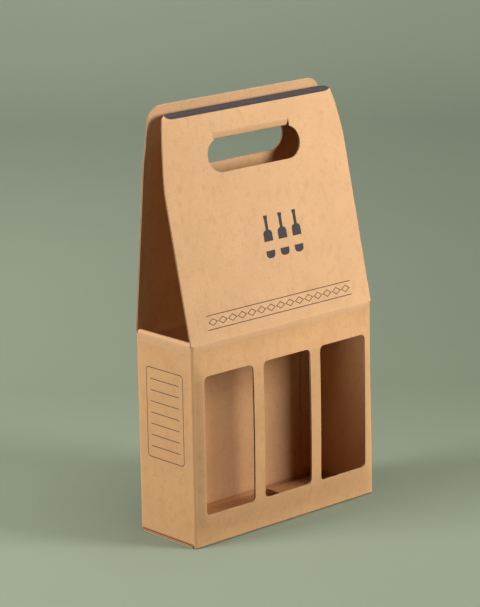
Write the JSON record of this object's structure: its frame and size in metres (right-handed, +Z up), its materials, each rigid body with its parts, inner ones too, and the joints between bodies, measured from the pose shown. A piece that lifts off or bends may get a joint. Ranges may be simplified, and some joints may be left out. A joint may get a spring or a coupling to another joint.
{
  "type": "bottle gift box",
  "caption": "Folded corrugated carry box for a row of bottles: windowed front, leaning handle panels with a hand hole and rolled top fold, and a tucked base.",
  "frame": {"origin": "centre of the base, on the floor", "axes": "+X along the front to the viewer's right, the front faces -Y, +Z up"},
  "size_m": [0.19, 0.065, 0.338],
  "materials": {
    "kraft_board": "matt brown kraft",
    "slate_print": "matt dark slate ink on kraft"
  },
  "bodies": {
    "carton": {"front_panel": "kraft_board", "rear_panel": "kraft_board", "left_side_panel": "kraft_board", "right_side_panel": "kraft_board", "glue_flap": "kraft_board"},
    "front_handle": {"front_handle_panel": "kraft_board", "handle_roll": "slate_print", "handle_return_flap": "kraft_board"},
    "rear_handle": {"rear_handle_panel": "kraft_board"},
    "front_grip": {"front_grip_flap": "kraft_board"},
    "rear_grip": {"rear_grip_flap": "kraft_board"},
    "left_top": {"left_top_flap": "kraft_board"},
    "right_top": {"right_top_flap": "kraft_board"},
    "base": {"base_panel": "kraft_board"},
    "base_tuck": {"base_tuck_flap": "kraft_board"},
    "left_base": {"left_base_flap": "kraft_board"},
    "right_base": {"right_base_flap": "kraft_board"}
  },
  "joints": [
    {"name": "front_handle_hinge", "type": "hinge", "parent": "carton", "child": "front_handle", "pos_m": [0, -0.0325, 0.1607], "axis": [1, 0, 0], "range_deg": [0, 150]},
    {"name": "rear_handle_hinge", "type": "hinge", "parent": "carton", "child": "rear_handle", "pos_m": [0, 0.0325, 0.1607], "axis": [-1, 0, 0], "range_deg": [0, 140]},
    {"name": "front_grip_flap_hinge", "type": "hinge", "parent": "front_handle", "child": "front_grip", "pos_m": [0, 0.00347, 0.31281], "axis": [1, 0, 0], "range_deg": [-62, 6]},
    {"name": "rear_grip_flap_hinge", "type": "hinge", "parent": "rear_handle", "child": "rear_grip", "pos_m": [0, 0.01684, 0.31621], "axis": [1, 0, 0], "range_deg": [-62, 100]},
    {"name": "left_top_flap_hinge", "type": "hinge", "parent": "carton", "child": "left_top", "pos_m": [-0.0902, 0, 0.1607], "axis": [0, -1, 0], "range_deg": [0, 100]},
    {"name": "right_top_flap_hinge", "type": "hinge", "parent": "carton", "child": "right_top", "pos_m": [0.0902, 0, 0.1607], "axis": [0, 1, 0], "range_deg": [0, 100]},
    {"name": "base_hinge", "type": "hinge", "parent": "carton", "child": "base", "pos_m": [0, 0.0302, 0], "axis": [1, 0, 0], "range_deg": [0, 90]},
    {"name": "base_tuck_hinge", "type": "hinge", "parent": "base", "child": "base_tuck", "pos_m": [0, -0.02919, 0.00244], "axis": [-1, 0, 0], "range_deg": [0, 15]},
    {"name": "left_base_flap_hinge", "type": "hinge", "parent": "carton", "child": "left_base", "pos_m": [-0.0927, 0, 0.0033], "axis": [0, -1, 0], "range_deg": [0, 88]},
    {"name": "right_base_flap_hinge", "type": "hinge", "parent": "carton", "child": "right_base", "pos_m": [0.0927, 0, 0.0033], "axis": [0, 1, 0], "range_deg": [0, 88]}
  ]
}
